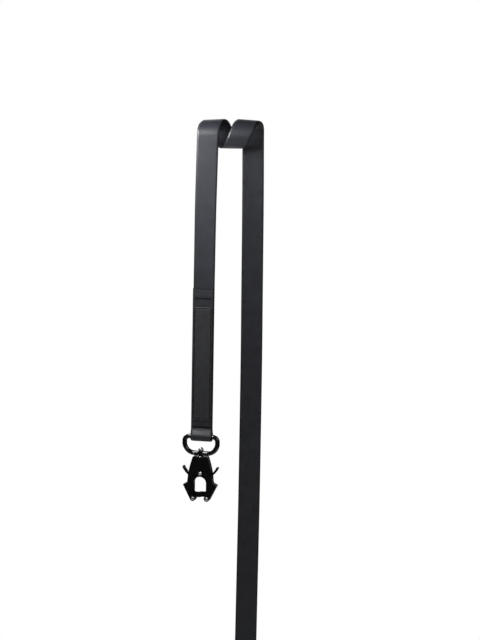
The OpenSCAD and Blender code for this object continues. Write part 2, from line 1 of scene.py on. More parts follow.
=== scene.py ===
"""Looks of the strap leash: one continuous coated strap, its sewn ends, the ring and the two-jaw clip."""

import json
import math

import bmesh
import bpy
from mathutils import Matrix, Vector

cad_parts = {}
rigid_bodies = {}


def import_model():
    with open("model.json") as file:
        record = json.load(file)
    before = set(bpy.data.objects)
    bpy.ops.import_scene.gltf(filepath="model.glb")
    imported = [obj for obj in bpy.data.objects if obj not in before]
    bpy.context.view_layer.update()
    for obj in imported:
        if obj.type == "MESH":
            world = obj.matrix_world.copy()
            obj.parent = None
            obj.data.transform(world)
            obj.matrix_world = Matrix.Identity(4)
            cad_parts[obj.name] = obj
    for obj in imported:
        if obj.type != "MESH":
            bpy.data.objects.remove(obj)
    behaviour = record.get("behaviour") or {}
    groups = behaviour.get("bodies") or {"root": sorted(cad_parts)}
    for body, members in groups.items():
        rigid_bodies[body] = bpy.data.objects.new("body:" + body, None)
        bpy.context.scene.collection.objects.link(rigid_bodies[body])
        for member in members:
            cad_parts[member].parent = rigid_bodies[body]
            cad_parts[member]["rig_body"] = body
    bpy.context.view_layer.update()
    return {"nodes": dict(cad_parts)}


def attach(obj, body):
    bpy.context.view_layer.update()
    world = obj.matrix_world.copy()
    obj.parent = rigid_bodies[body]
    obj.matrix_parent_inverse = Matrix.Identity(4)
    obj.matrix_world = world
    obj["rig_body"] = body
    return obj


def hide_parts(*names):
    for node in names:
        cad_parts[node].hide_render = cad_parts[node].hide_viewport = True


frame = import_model()
MM = 0.001

# Sizes shared with the solids, in millimetres and degrees
STRAP_W = 25.0
STRAP_T = 2.5
LAYER_GAP = 0.1
RAIL_R = 13.45
RAIL_GAP = 0.3
WRAP_SPAN = 52.0
WRAP_LIFT = 4.5
WRAP_TURN = 540.0
WRAP_EASE = 60.0
RING_DROP = 350.2
CLIP_YAW = 13.0
FOLD_TOP = 173.5
LOOP_H = 10.0
TACK_INSET = 11.5
TACK_W = 20.0
TACK_H = 2.6
THREAD_D = 0.5
PATCH_W = 22.6
PATCH_L = 132.5
PATCH_T = 1.2
PATCH_R = 2.5
PATCH_UP = 19.5
STITCH_INSET = 1.6
STITCH_L = 2.8
STITCH_STEP = 4.0
RING_WIRE = 5.6
RING_PLAY = 0.2
HANDLE_DROP = 700.0
HANDLE_SEWN = 60.0
HANDLE_L = 165.0
HANDLE_OPEN = 58.0
DROP_POWER = 1.6

# Free strands: distance out past the winding, depth below the rail, share of the turn
CLIP_ROUTE = [
    (0, 0, 0), (0.3, 20, 0.1), (0.8, 50, 0.25), (1.3, 85, 0.5),
    (1.5, 120, 0.8), (1.6, 150, 0.96), (1.7, 168, 1), (1.7, RING_DROP - LOOP_H, 1),
]
HANDLE_ROUTE = [
    (0, 0, 0), (0.2, 20, 0.05), (0.6, 50, 0.15), (1, 90, 0.3), (1.3, 140, 0.5), (1.6, 195, 0.7),
    (2, 260, 0.85), (2, 330, 1), (1.8, 430, 1), (1.3, 500, 1), (0.8, 570, 1), (0.5, 620, 1),
    (0.4, 660, 1), (0.4, HANDLE_DROP + HANDLE_SEWN, 1),
]
CLIP_OUT = WRAP_SPAN / 2 + CLIP_ROUTE[-1][0]
HAND_OUT = WRAP_SPAN / 2 + HANDLE_ROUTE[-1][0]
WRAP_R = RAIL_R + RAIL_GAP + STRAP_T / 2
LAYER_OFF = (STRAP_T + LAYER_GAP) / 2
FOLD_FACE = STRAP_T + LAYER_GAP / 2
FOLD_R = RING_WIRE / 2 + RING_PLAY + STRAP_T / 2
UPPER_TACK = FOLD_TOP - TACK_INSET
LOWER_TACK = LOOP_H + TACK_H / 2
HAND_LOW_TACK = TACK_H
HAND_HIGH_TACK = HANDLE_SEWN - TACK_INSET


def sin_d(a):
    return math.sin(math.radians(a))


def cos_d(a):
    return math.cos(math.radians(a))


def smooth(t):
    """Ease from 0 to 1, level at both ends."""
    return t * t * (3 - 2 * t)


def clamp(t):
    return max(0.0, min(1.0, t))


# Meshes


def new_piece(name, verts, faces, uvs=None, sharp=35.0, looks=None):
    """Mesh object from points in millimetres; edges that turn more than `sharp` degrees stay crisp."""
    mesh = bpy.data.meshes.new(name)
    mesh.from_pydata([Vector(v) * MM for v in verts], [], faces)
    if looks:
        mesh.polygons.foreach_set("material_index", looks)
    if uvs:
        layer = mesh.uv_layers.new(name="flat")
        for loop in mesh.loops:
            layer.data[loop.index].uv = uvs[loop.vertex_index]
    finish_mesh(mesh, sharp)
    obj = bpy.data.objects.new(name, mesh)
    bpy.context.scene.collection.objects.link(obj)
    return obj


def finish_mesh(mesh, sharp):
    """Turns the faces outwards and shades them smooth, apart from the sharp edges."""
    bm = bmesh.new()
    bm.from_mesh(mesh)
    bmesh.ops.recalc_face_normals(bm, faces=bm.faces)
    crisp = math.radians(sharp)
    for face in bm.faces:
        face.smooth = True
    for edge in bm.edges:
        edge.smooth = len(edge.link_faces) == 2 and edge.calc_face_angle(0) < crisp
    bm.to_mesh(mesh)
    bm.free()


# Section of the coated strap, across and through, for its width and thickness above: a full middle, a
# small step and a thin rounded lip along each edge; the lip, from LIP_FROM outwards, takes the darker edge
# look, which is painted shade
EDGE_FORM = [
    (12.5, 0.0), (12.45, 0.32), (12.25, 0.6), (11.9, 0.78), (11.5, 0.86), (11.25, 1.0),
    (11.0, 1.16), (10.7, 1.24), (10.0, 1.25), (7.5, 1.25), (5.0, 1.25), (2.5, 1.25), (0.0, 1.25),
]
UPPER = EDGE_FORM + [(-a, t) for a, t in reversed(EDGE_FORM[:-1])]
SECTION = UPPER + [(a, -t) for a, t in reversed(UPPER[1:-1])]
LIP_FROM = 11.7


class Sweep:
    """Strap body through rings; each ring has a middle, an across and a through direction."""

    def __init__(self):
        self.verts = []
        self.uvs = []
        self.path = []
        self.rings = 0
        self.length = 0.0
        self.cut = None

    def add(self, middle, across, through, form=None, bend=None):
        """One more ring; form reshapes the section, bend moves the finished points."""
        middle = Vector(middle)
        if self.path:
            self.length += (middle - self.path[-1]).length
        self.path.append(middle)
        for a, t in SECTION:
            a2, t2 = form(a, t) if form else (a, t)
            point = middle + a2 * across + t2 * through
            self.verts.append(bend(point, a2, t2) if bend else point)
            self.uvs.append((a * MM, self.length * MM))
        self.rings += 1

    def piece(self, name):
        """Closed mesh; the lips, the cut end and the two end faces take the second look, the darker edge look
        that paints shade on them.
        """
        n = len(SECTION)
        faces, looks = [], []
        for i in range(self.rings - 1):
            for j in range(n):
                k = (j + 1) % n
                faces.append((i * n + j, i * n + k, (i + 1) * n + k, (i + 1) * n + j))
                lip = min(abs(SECTION[j][0]), abs(SECTION[k][0])) > LIP_FROM
                looks.append(1 if lip or (self.cut and i >= self.cut) else 0)
        last = (self.rings - 1) * n
        half = len(UPPER)
        for start in (0, last):
            for j in range(half - 2):
                low_a = (n - j) % n
                low_b = n - j - 1
                quad = [start + j, start + j + 1, start + low_b, start + low_a]
                faces.append(tuple(dict.fromkeys(quad)))
            faces.append((start + half - 2, start + half - 1, start + half))
        looks += [1] * (len(faces) - len(looks))
        return new_piece(name, self.verts, faces, self.uvs, looks=looks)


# Winding round the rail: angle 0 faces the viewer, 90 is on top


def eased(t):
    """Slow start from 0 that reaches one half, at full pace, when t is 1."""
    return t**3 - t**4 / 2


def wrap_share(a):
    """Degrees of the winding that move the strap sideways up to an angle; its two ends start slowly."""
    if a < WRAP_EASE:
        return WRAP_EASE * eased(a / WRAP_EASE)
    if a > WRAP_TURN - WRAP_EASE:
        return WRAP_TURN - WRAP_EASE - WRAP_EASE * eased((WRAP_TURN - a) / WRAP_EASE)
    return a - WRAP_EASE / 2


def wrap_roll(a):
    """Lean of the strap on the rail, from one edge lifted to the other."""
    return -WRAP_LIFT * cos_d(180 * a / WRAP_TURN)


def wrap_rad(a):
    """Distance of the strap's middle from the rail's axis, larger where it leans."""
    return WRAP_R + STRAP_W / 2 * abs(sin_d(wrap_roll(a)))


def wrap_point(a):
    x = WRAP_SPAN * (wrap_share(a) / (WRAP_TURN - WRAP_EASE) - 0.5)
    return Vector((x, -wrap_rad(a) * cos_d(a), wrap_rad(a) * sin_d(a)))


def wrap_frame(a):
    """Across and outward direction of the strap on the rail."""
    out = Vector((0, -cos_d(a), sin_d(a)))
    if a <= 0 or a >= WRAP_TURN:
        ahead = Vector((0, sin_d(a), cos_d(a)))
    else:
        ahead = (wrap_point(a + 1) - wrap_point(a - 1)).normalized()
    side = ahead.cross(out).normalized()
    normal = side.cross(ahead)
    roll = wrap_roll(a)
    return cos_d(roll) * side - sin_d(roll) * normal, sin_d(roll) * side + cos_d(roll) * normal


def hug_rail(a):
    """Bends a straight section of the strap onto the rail, keeping its thickness."""
    base = wrap_rad(a)
    roll = wrap_roll(a)

    def bend(point, across, through):
        radius = math.hypot(point.y, point.z)
        wanted = base + through * cos_d(roll) - across * sin_d(roll)
        return Vector((point.x, point.y * wanted / radius, point.z * wanted / radius))

    return bend


STRAND_Y = wrap_rad(0)


def on_route(route, depth):
    """Smooth value of a strand's route at a depth."""
    i = 0
    while i < len(route) - 2 and depth > route[i + 1][1]:
        i += 1
    a, b = route[i], route[i + 1]
    before = route[max(i - 1, 0)]
    after = route[min(i + 2, len(route) - 1)]
    step = b[1] - a[1]
    t = clamp((depth - a[1]) / step)

    def blend(k):
        first = (b[k] - before[k]) / max(b[1] - before[1], 1e-6) * step
        last = (after[k] - a[k]) / max(after[1] - a[1], 1e-6) * step
        t2, t3 = t * t, t**3
        return (
            (2 * t3 - 3 * t2 + 1) * a[k] + (t3 - 2 * t2 + t) * first
            + (3 * t2 - 2 * t3) * b[k] + (t3 - t2) * last
        )

    return blend(0), blend(2)


def strand_frame(route, depth, side, end_yaw):
    """Middle, across and outward direction of a free strand; side is -1 before the rail, 1 behind it."""
    out, share = on_route(route, depth)
    yaw = WRAP_LIFT + (end_yaw - WRAP_LIFT) * share
    middle = Vector((side * (WRAP_SPAN / 2 + out), side * STRAND_Y, -depth))
    across = Vector((cos_d(yaw), -sin_d(yaw), 0))
    return middle, across, side * Vector((sin_d(yaw), cos_d(yaw), 0))


# Dent of a bar tack and the swell of the cloth on both sides of it
DENT_DEEP = 0.42
DENT_WIDE = 1.35
DENT_EASE = 1.2
SWELL_HIGH = 0.1
SWELL_WIDE = 1.5
SWELL_AWAY = 3.4

# Distances between the rings of a strap: coarse where it is straight, fine round its seams
SEWN_STEP = 8
BACKED_STEP = 12
TURNING_STEP = 5
HANGING_STEP = 8
FINE_STEP = 0.6
FINE_REACH = 6.0
WRAP_STEPS = 108
BELOW_RAIL = 4
TURN_END = 170


def dip(w, at, wide):
    """Soft bell of height 1 round a place."""
    return math.exp(-(((w - at) / wide) ** 2))


def swell(w, row):
    return dip(w, row - SWELL_AWAY, SWELL_WIDE) + dip(w, row + SWELL_AWAY, SWELL_WIDE)


def seam_press(w, rows):
    """How deep the thread of the bar tacks pulls the strap in at height w, with the cloth risen beside it."""
    deep = sum(DENT_DEEP * dip(w, row, DENT_WIDE) for row in rows)
    return deep - sum(SWELL_HIGH * swell(w, row) for row in rows)


def pressed(depth, face):
    """Form of a section whose one face, 1 or -1, is pulled in under a bar tack."""

    def form(a, t):
        under = clamp((TACK_W / 2 + DENT_EASE - abs(a)) / DENT_EASE)
        return (a, t - face * depth * smooth(under)) if t * face > 0 else (a, t)

    return form


def levels(start, end, step, rows=()):
    """Heights from start to end, closer together around the rows."""
    found = []
    at = start
    while at < end:
        found.append(at)
        near = any(abs(at - row) < FINE_REACH for row in rows)
        at += FINE_STEP if near else step
        for row in rows:
            if found[-1] < row - FINE_REACH < at:
                at = row - FINE_REACH
    return found + [end]


def make_strap():
    """The strap from the clip's loop up to the rail, round it and down to the hand loop."""
    body = Sweep()
    rows = (UPPER_TACK, LOWER_TACK)
    for w in levels(LOOP_H, RING_DROP - TURN_END, BACKED_STEP, rows):
        middle, across, out = strand_frame(CLIP_ROUTE, RING_DROP - w, -1, CLIP_YAW)
        body.add(middle, across, out, pressed(seam_press(w, rows), -1))
    for w in levels(RING_DROP - TURN_END + TURNING_STEP, RING_DROP - BELOW_RAIL, TURNING_STEP):
        body.add(*strand_frame(CLIP_ROUTE, RING_DROP - w, -1, CLIP_YAW))
    for i in range(WRAP_STEPS + 1):
        a = WRAP_TURN * i / WRAP_STEPS
        across, out = wrap_frame(a)
        body.add(wrap_point(a), across, out, bend=hug_rail(a))
    for depth in levels(BELOW_RAIL, HANDLE_DROP - TURNING_STEP, HANGING_STEP):
        body.add(*strand_frame(HANDLE_ROUTE, depth, 1, 0))
    lowest = HANDLE_DROP + HANDLE_SEWN
    rows = (lowest - HAND_HIGH_TACK, lowest - HAND_LOW_TACK)
    for depth in levels(HANDLE_DROP, lowest, SEWN_STEP, rows):
        middle, across, out = strand_frame(HANDLE_ROUTE, depth, 1, 0)
        body.add(middle, across, out, pressed(seam_press(depth, rows), 1))
    return body


# Places of the two sewn ends: u across, v through the layers, w up; the clip end's origin lies in the
# ring's bar, the hand end's in the strap where the open loop begins
CLIP_END = (
    Matrix.Translation((-CLIP_OUT, -STRAND_Y, -RING_DROP))
    @ Matrix.Rotation(math.radians(-CLIP_YAW), 4, "Z")
    @ Matrix.Translation((0, -LAYER_OFF, 0))
)
HAND_END = Matrix.Translation((HAND_OUT, STRAND_Y, -HANDLE_DROP - HANDLE_SEWN))


def lay_layer(body, matrix, v, w, heading, form=None):
    """One ring of a doubled strap on a path in the plane of v and w; its inner face is the positive one."""
    across = matrix.to_3x3() @ Vector((1, 0, 0))
    inward = matrix.to_3x3() @ Vector((0, cos_d(heading), -sin_d(heading)))
    body.add(matrix @ Vector((0, v, w)), across, inward, form)


# Rounded cut end of a layer: its length, how much thinner and narrower it gets, and where its rings lie
CUT_L = 1.0
CUT_THINNER = 0.85
CUT_NARROWER = 0.25
CUT_RINGS = (0.35, 0.6, 0.8, 0.93, 1.0)


def cut_form(share):
    """Form of a section at a share of the way through the rounded cut end."""
    thin = math.sqrt(1 - (CUT_THINNER * share) ** 2)

    def form(a, t):
        return a - CUT_NARROWER * share * (a / (STRAP_W / 2)), t * thin

    return form


def lay_sewn_run(body, matrix, v, start, end, rows):
    """Straight sewn layer with its seams and a rounded cut end."""
    for w in levels(start, end - CUT_L, SEWN_STEP, rows):
        lay_layer(body, matrix, v, w, 360, pressed(seam_press(w, rows), -1))
    # The rings from here on form the cut end, which takes the edge look: painted shade along the cut.
    body.cut = body.rings - 1
    for share in CUT_RINGS:
        lay_layer(body, matrix, v, end - CUT_L + share * CUT_L, 360, cut_form(share))


NECK_STEPS = 14
BEND_STEPS = 24
HAND_STEPS = 90


def make_fold():
    """From the back strand's lower end round the ring's bar and up the front as the sewn layer."""
    body = Sweep()
    back = []
    for i in range(NECK_STEPS + 1):
        t = i / NECK_STEPS
        slope = (FOLD_R - LAYER_OFF) / LOOP_H * 6 * t * (1 - t)
        v = LAYER_OFF + (FOLD_R - LAYER_OFF) * smooth(t)
        back.append((v, LOOP_H * (1 - t), 180 - math.degrees(math.atan(slope))))
    for v, w, heading in back:
        lay_layer(body, CLIP_END, v, w, heading)
    for i in range(1, BEND_STEPS):
        a = 180 * i / BEND_STEPS
        lay_layer(body, CLIP_END, FOLD_R * cos_d(a), -FOLD_R * sin_d(a), 180 + a)
    for v, w, heading in reversed(back[1:]):
        lay_layer(body, CLIP_END, -v, w, 540 - heading)
    lay_sewn_run(body, CLIP_END, -LAYER_OFF, LOOP_H, FOLD_TOP, (LOWER_TACK, UPPER_TACK))
    return body


DROP_PEAK = max(sin_d(t) * sin_d(t / 2) ** DROP_POWER for t in range(0, 181, 2))


def drop_point(t):
    """Open hand loop: a hanging drop from the back layer round to the front one."""
    wide = HANDLE_OPEN / 2 / DROP_PEAK * sin_d(t) * abs(sin_d(t / 2)) ** DROP_POWER
    return wide - 2 * LAYER_OFF * t / 360, -HANDLE_L * (1 - cos_d(t)) / 2


def make_hand_loop():
    """Round the open loop from the back layer, then up the front as the sewn layer."""
    body = Sweep()
    for i in range(HAND_STEPS):
        t = 360 * i / HAND_STEPS
        v, w = drop_point(t)
        heading = 180.0
        if i:
            ahead, behind = drop_point(t + 0.5), drop_point(t - 0.5)
            heading = math.degrees(math.atan2(ahead[0] - behind[0], ahead[1] - behind[1])) % 360
        lay_layer(body, HAND_END, v, w, heading)
    lay_sewn_run(body, HAND_END, -2 * LAYER_OFF, 0, HANDLE_SEWN, (HAND_LOW_TACK, HAND_HIGH_TACK))
    return body


# Stitches: how far a thread sinks and rises, and the thread, slant and waver of the bar tacks' zigzag
STITCH_SINK = 0.32
STITCH_RISE = 0.18
STITCH_SLANT = 0.06
TACK_THREAD = 0.62
TACK_CLOSE = 2.6
TACK_SINK = 0.3
TACK_LEAN = 0.42
TACK_WAVER = 0.08
TACK_BEAT = 2.3


class Threads:
    """Many short stitches in one mesh; each is a thread that rises out of the cloth and dives back in."""

    SIDES = 8

    def __init__(self, matrix):
        self.matrix = matrix
        self.verts = []
        self.faces = []

    def stitch(self, start, end, out, thick=THREAD_D):
        """start and end lie on the cloth, out is the direction away from it."""
        start, end, out = Vector(start), Vector(end), Vector(out)
        run = (end - start).normalized()
        side = run.cross(out)
        # Share of the run, height above the cloth, share of the thickness
        profile = [
            (-0.06, -STITCH_SINK, 0.3), (0.0, -0.1, 0.8), (0.1, 0.06, 0.96),
            (0.25, 0.8 * STITCH_RISE, 1.0), (0.5, STITCH_RISE, 1.03),
        ]
        profile += [(1 - s, h, r) for s, h, r in reversed(profile[:-1])]
        first = len(self.verts)
        for share, height, size in profile:
            middle = start + (end - start) * share + out * height
            for k in range(self.SIDES):
                a = 360 * k / self.SIDES
                spot = middle + (side * cos_d(a) + out * sin_d(a)) * size * thick / 2
                self.verts.append(self.matrix @ spot)
        last = first + (len(profile) - 1) * self.SIDES
        for ring in range(first, last, self.SIDES):
            for k in range(self.SIDES):
                n = (k + 1) % self.SIDES
                self.faces.append((ring + k, ring + n, ring + self.SIDES + n, ring + self.SIDES + k))
        self.faces.append(tuple(range(first, first + self.SIDES)))
        self.faces.append(tuple(range(last, last + self.SIDES)))

    def bar_tack(self, v, w, out):
        """Close zigzag across the strap on the pulled-in face at level v."""
        count = 2 * math.floor(TACK_W / (TACK_CLOSE * THREAD_D))
        pitch = TACK_W / count
        level = v - out * TACK_SINK
        for i in range(count):
            u = (i + 0.5) * pitch - TACK_W / 2
            lean = TACK_LEAN * pitch if i % 2 else -TACK_LEAN * pitch
            tall = TACK_H / 2 * (1.0 + TACK_WAVER * math.sin(TACK_BEAT * i))
            self.stitch((u - lean, level, w - tall), (u + lean, level, w + tall), (0, out, 0), TACK_THREAD)

    def piece(self, name):
        return new_piece(name, self.verts, self.faces, sharp=70)


def stitch_places(seam):
    """Middles of the running stitches along a seam, from its own middle."""
    count = math.floor((seam - STITCH_L) / STITCH_STEP)
    return [(i - count / 2) * STITCH_STEP for i in range(count + 1)]


PATCH_FACE = -FOLD_FACE - PATCH_T
PATCH_MIDDLE = PATCH_UP + PATCH_L / 2

# The patch's sewn groove and the part of it with painted shade, the dark edge look, and the crown of the
# field inside it
GROOVE = 0.34
GROOVE_WIDE = 0.45
GROOVE_PROUD = 0.05
PAINTED_SHADE_OFF = 0.1
PAINTED_SHADE_WIDE = 0.32
CROWN = 0.12
CROWN_FROM = 3.4
CROWN_WIDE = 7
SHARP_R = 0.35
CORNER_STEPS = 6
END_STEPS = 8
SIDE_STEPS = 66


def make_patch_threads():
    """Running stitches in the groove, along the patch's two sides and its two ends."""
    threads = Threads(CLIP_END)
    seam_u = PATCH_W / 2 - STITCH_INSET
    seam_w = PATCH_L / 2 - STITCH_INSET
    level = PATCH_FACE + GROOVE - GROOVE_PROUD
    out = (0, -1, 0)
    half = STITCH_L / 2
    slant = STITCH_SLANT
    for u in (-seam_u, seam_u):
        for w in stitch_places(2 * seam_w - 2 * PATCH_R):
            at = PATCH_MIDDLE + w
            threads.stitch((u - slant, level, at - half), (u + slant, level, at + half), out)
    for w in (-seam_w, seam_w):
        at = PATCH_MIDDLE + w
        for u in stitch_places(2 * seam_u - 2 * PATCH_R):
            threads.stitch((u - half, level, at - slant), (u + half, level, at + slant), out)
    return threads


def rounded_outline(inset):
    """Points of the patch's outline, moved in by an inset, always in the same number."""
    r = max(PATCH_R - inset, SHARP_R)
    half_u = PATCH_W / 2 - inset
    half_w = PATCH_L / 2 - inset
    points = []
    corners = [(1, 1, 0), (-1, 1, 90), (-1, -1, 180), (1, -1, 270)]
    for n, (su, sw, start) in enumerate(corners):
        cu, cw = su * (half_u - r), sw * (half_w - r)
        for i in range(CORNER_STEPS + 1):
            a = start + 90 * i / CORNER_STEPS
            points.append((cu + r * cos_d(a), cw + r * sin_d(a)))
        nu, nw = corners[(n + 1) % 4][:2]
        end_u, end_w = nu * (half_u - r), nw * (half_w - r)
        a = start + 90
        first = (cu + r * cos_d(a), cw + r * sin_d(a))
        last = (end_u + r * cos_d(a), end_w + r * sin_d(a))
        count = END_STEPS if n % 2 == 0 else SIDE_STEPS
        for i in range(1, count):
            points.append(tuple(p + (q - p) * i / count for p, q in zip(first, last)))
    return points


def make_patch():
    """Soft moulded patch: rounded rim, a sewn groove that pulls the border in, a slightly crowned field; its
    upright outer wall and the faces along the stitch line carry painted shade.
    """
    # Each loop of points has an inset from the outline and a height above the strap
    rim = [(0.12, 0.0), (0.0, 0.15), (0.0, 0.75), (0.08, 1.0), (0.25, 1.14), (0.5, PATCH_T)]
    groove = []
    for step in (-0.85, -0.6, -0.4, -0.2, 0.0, 0.2, 0.4, 0.6, 0.85, 1.2):
        groove.append((STITCH_INSET + step, PATCH_T - GROOVE * dip(step, 0, GROOVE_WIDE)))
    field = []
    for inset in (CROWN_FROM, 4.4, 5.6, 7.0, 8.4, 9.6):
        field.append((inset, PATCH_T + CROWN * smooth((inset - CROWN_FROM) / CROWN_WIDE)))
    loops = rim + groove + field
    count = len(rounded_outline(0))
    verts, faces = [], []
    for inset, height in loops:
        for u, w in rounded_outline(inset):
            verts.append(CLIP_END @ Vector((u, -FOLD_FACE - height, PATCH_MIDDLE + w)))
    for i in range(len(loops) - 1):
        for j in range(count):
            k = (j + 1) % count
            faces.append((i * count + j, i * count + k, (i + 1) * count + k, (i + 1) * count + j))
    faces.append(tuple(range(count)))
    top = (len(loops) - 1) * count
    faces.append(tuple(range(top, top + count)))
    # Painted shade: the upright outer wall and the groove round the stitches take the dark edge look.
    dark = []
    for (inset, _), (next_inset, _) in zip(loops, loops[1:]):
        upright = inset == next_inset
        sewn = abs(inset - STITCH_INSET + PAINTED_SHADE_OFF) < PAINTED_SHADE_WIDE
        dark.append(upright or sewn)
    looks = [int(dark[i // count]) for i in range(len(faces) - 2)] + [0, 0]
    return new_piece("patch", verts, faces, sharp=50, looks=looks)


# Looks: noise mostly lies between these two values
NOISE_LOW = 0.3
NOISE_HIGH = 0.7


class Tree:
    """Shader nodes of one material or of the world."""

    def __init__(self, tree):
        self.nodes = tree.nodes
        self.links = tree.links

    def add(self, kind, links=(), **values):
        """New node; each value goes to its input or setting of that name, each link to an input."""
        made = self.nodes.new(kind)
        for key, value in values.items():
            if key in made.inputs:
                made.inputs[key].default_value = value
            else:
                setattr(made, key, value)
        for name, output in dict(links).items():
            self.links.new(output, made.inputs[name])
        return made

    def ramp(self, value, low, high, first, last, **values):
        made = self.add("ShaderNodeMapRange", {"Value": value}, **values)
        for name, number in (("From Min", low), ("From Max", high), ("To Min", first), ("To Max", last)):
            made.inputs[name].default_value = number
        return made.outputs["Result"]

    def maths(self, kind, first, second):
        made = self.add("ShaderNodeMath", operation=kind)
        self.links.new(first, made.inputs[0])
        self.links.new(second, made.inputs[1])
        return made.outputs["Value"]

    def seen_rays(self, share):
        """1 for what the camera sees, and the given share for what metal and glass show."""
        rays = self.add("ShaderNodeLightPath").outputs
        mirrored = self.maths("MAXIMUM", rays["Is Glossy Ray"], rays["Is Transmission Ray"])
        return self.maths("MAXIMUM", rays["Is Camera Ray"], self.maths("MULTIPLY", mirrored, share))

    def show(self, share, first, second, output):
        """Mixes two shaders into an output node."""
        made = self.add("ShaderNodeMixShader", {"Fac": share})
        self.links.new(first, made.inputs[1])
        self.links.new(second, made.inputs[2])
        self.links.new(made.outputs["Shader"], self.nodes[output].inputs["Surface"])


class Look(Tree):
    """One material, built as a chain of shader nodes."""

    def __init__(self, name, colour, rough, metal=0.0, specular=0.5):
        self.mat = bpy.data.materials.new(name)
        self.mat.use_nodes = True
        self.mat.diffuse_color = (*colour, 1)
        super().__init__(self.mat.node_tree)
        self.shader = self.nodes["Principled BSDF"]
        self.rough = rough
        self.normal = None
        self.put("Base Color", (*colour, 1))
        self.put("Roughness", rough)
        self.put("Metallic", metal)
        self.put("Specular IOR Level", specular)
        self.solid = self.add("ShaderNodeTexCoord").outputs["Object"]

    def put(self, name, value):
        self.shader.inputs[name].default_value = value

    def flat(self):
        return self.add("ShaderNodeUVMap", uv_map="flat").outputs["UV"]

    def stretched(self, vector, scale):
        made = self.add("ShaderNodeMapping", {"Vector": vector})
        made.inputs["Scale"].default_value = scale
        return made.outputs["Vector"]

    def noise(self, vector, scale, detail=3.0):
        return self.add("ShaderNodeTexNoise", {"Vector": vector}, Scale=scale, Detail=detail).outputs["Fac"]

    def waves(self, vector, across, scale, distortion):
        made = self.add("ShaderNodeTexWave", {"Vector": vector}, Scale=scale, Distortion=distortion)
        made.bands_direction = across
        return made

    def colour_from(self, value, dark, light):
        made = self.add("ShaderNodeValToRGB", {"Fac": value})
        for i, (place, colour) in enumerate(((NOISE_LOW, dark), (NOISE_HIGH, light))):
            made.color_ramp.elements[i].position = place
            made.color_ramp.elements[i].color = (*colour, 1)
        self.links.new(made.outputs["Color"], self.shader.inputs["Base Color"])

    def rough_from(self, value, spread):
        output = self.ramp(value, NOISE_LOW, NOISE_HIGH, self.rough - spread, self.rough + spread)
        self.links.new(output, self.shader.inputs["Roughness"])

    def bump_from(self, height, strength, distance):
        """Adds one more layer of fine relief, with its height in millimetres."""
        links = {"Height": height}
        if self.normal:
            links["Normal"] = self.normal
        made = self.add("ShaderNodeBump", links, Strength=strength, Distance=distance * MM)
        self.normal = made.outputs["Normal"]
        self.links.new(self.normal, self.shader.inputs["Normal"])


def shades(colour, spread):
    """A colour's darker and lighter shade."""
    return tuple(c * (1 - spread) for c in colour), tuple(c * (1 + spread) for c in colour)


STRAP_GREY = (0.0174, 0.0183, 0.0242)
SHELL_BLACK = (0.0025, 0.0025, 0.0029)
# Edge black: painted shade where it is darker than the strap and patch; on the clip's eased edges, lighter
# than the shell, it is wear
EDGE_SHADE_AND_WEAR_BLACK = (0.0050, 0.0050, 0.0058)
GLOSS_BLACK = (0.0025, 0.0025, 0.0028)
PATCH_BLACK = (0.0275, 0.0281, 0.0304)
THREAD_BLACK = (0.0020, 0.0020, 0.0022)
STEEL = (0.70, 0.70, 0.71)


def strap_look():
    """Smooth coating over webbing: faint cross ribs, fine grain, soft cloudy sheen and small scuffs."""
    look = Look("coated_strap", STRAP_GREY, 0.44, specular=0.66)
    flat = look.flat()
    look.colour_from(look.noise(look.solid, 70.0), *shades(STRAP_GREY, 0.14))
    look.rough_from(look.noise(look.solid, 170.0, 5.0), 0.05)
    ribs = look.waves(flat, "Y", 110.0, 0.8)
    ribs.inputs["Detail Scale"].default_value = 2.0
    look.bump_from(ribs.outputs["Fac"], 0.10, 0.05)
    look.bump_from(look.noise(flat, 1900.0, 2.0), 0.22, 0.03)
    look.bump_from(look.noise(look.stretched(flat, (1.0, 0.06, 1.0)), 900.0, 2.0), 0.10, 0.03)
    return look.mat


def edge_shade_look():
    """Painted shade: a darker, duller look on the strap's lips and cut ends and on the patch's wall and sewn
    groove.
    """
    look = Look("strap_edge_shade", EDGE_SHADE_AND_WEAR_BLACK, 0.6, specular=0.12)
    look.colour_from(look.noise(look.solid, 300.0), *shades(EDGE_SHADE_AND_WEAR_BLACK, 0.25))
    look.bump_from(look.noise(look.solid, 1500.0, 2.0), 0.2, 0.03)
    return look.mat


def patch_look():
    """Soft moulded rubber with a pebbled grain."""
    look = Look("patch_rubber", PATCH_BLACK, 0.52, specular=0.4)
    look.colour_from(look.noise(look.solid, 160.0), *shades(PATCH_BLACK, 0.16))
    look.rough_from(look.noise(look.solid, 300.0), 0.06)
    pebbles = look.add("ShaderNodeTexVoronoi", {"Vector": look.solid}, Scale=1500.0)
    look.bump_from(pebbles.outputs["Distance"], 0.25, 0.05)
    look.bump_from(look.noise(look.solid, 4200.0), 0.15, 0.02)
    return look.mat


def thread_look():
    """Twisted polyester thread."""
    look = Look("sewing_thread", THREAD_BLACK, 0.7, specular=0.2)
    look.colour_from(look.noise(look.solid, 900.0), *shades(THREAD_BLACK, 0.35))
    twist = look.waves(look.solid, "DIAGONAL", 900.0, 1.0)
    look.bump_from(twist.outputs["Fac"], 0.5, 0.06)
    return look.mat


def cast_look(name, colour, rough, specular):
    """Cast metal under a thin black coating: soft orange peel and a fine powdery grain."""
    look = Look(name, colour, rough, specular=specular)
    look.colour_from(look.noise(look.solid, 130.0), *shades(colour, 0.2))
    look.rough_from(look.noise(look.solid, 420.0, 4.0), 0.05)
    look.bump_from(look.noise(look.solid, 520.0, 2.0), 0.10, 0.05)
    look.bump_from(look.noise(look.solid, 2600.0, 2.0), 0.10, 0.02)
    return look.mat


